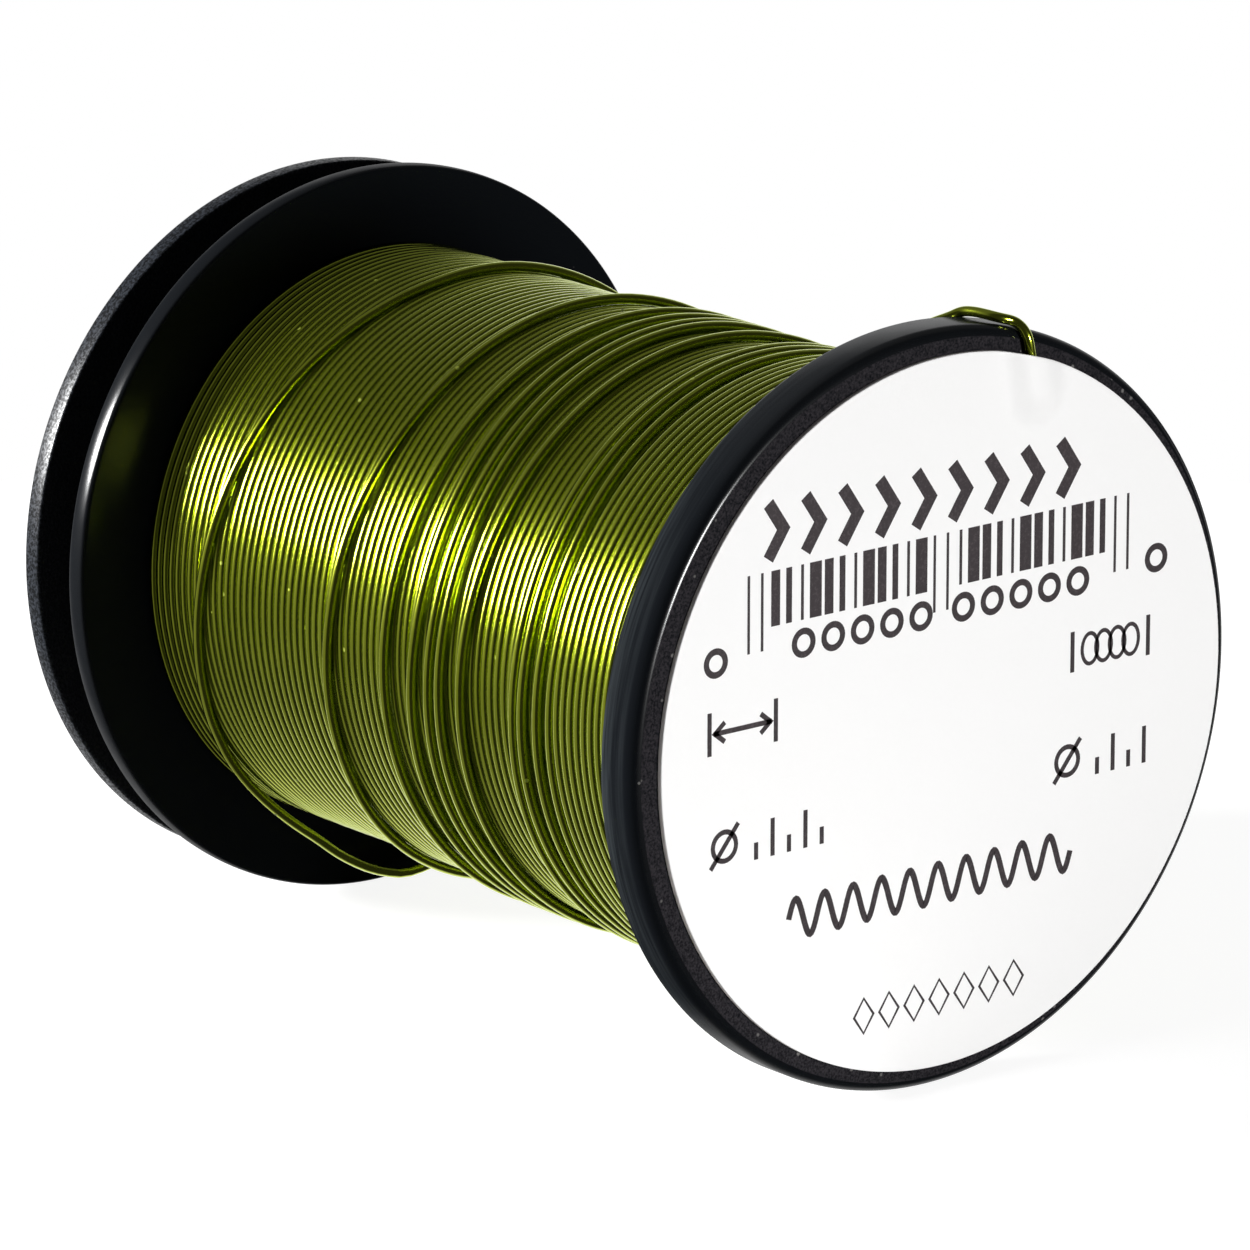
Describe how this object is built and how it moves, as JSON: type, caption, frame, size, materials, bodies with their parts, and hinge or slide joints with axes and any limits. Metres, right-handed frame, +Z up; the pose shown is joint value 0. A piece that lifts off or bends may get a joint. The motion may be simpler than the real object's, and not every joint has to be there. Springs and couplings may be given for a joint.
{
  "type": "wire spool",
  "caption": "Small black plastic spool wound with green enamelled wire, with a paper label on one flange and a sliding lock cap at the other end.",
  "frame": {"origin": "on the spool's axis at mid length, inside the spindle bore", "axes": "+Y along the axis from the label end to the lock cap, +Z up as the spool lies on its two flanges, +X to the right of someone reading the label"},
  "size_m": [0.0222, 0.0294, 0.0223],
  "materials": {
    "spool_plastic": "satin moulded black plastic, finely brushed round the rims",
    "cap_plastic": "matte, finely grained dark grey plastic",
    "label_paper": null,
    "wire_enamel": "glossy yellow-green enamel on soft wire"
  },
  "bodies": {
    "spool": {"label_flange": "spool_plastic", "drum": "spool_plastic", "label": "label_paper", "wire_first_layer": "wire_enamel", "wire_second_layer": "wire_enamel", "wire_turns": "wire_enamel", "wire_tail": "wire_enamel"},
    "cap": {"lock_cap": "cap_plastic"}
  },
  "joints": [
    {"name": "lock_slide", "type": "slide", "parent": "spool", "child": "cap", "axis": [0, 1, 0], "range_m": [-0.0018, 0]}
  ]
}
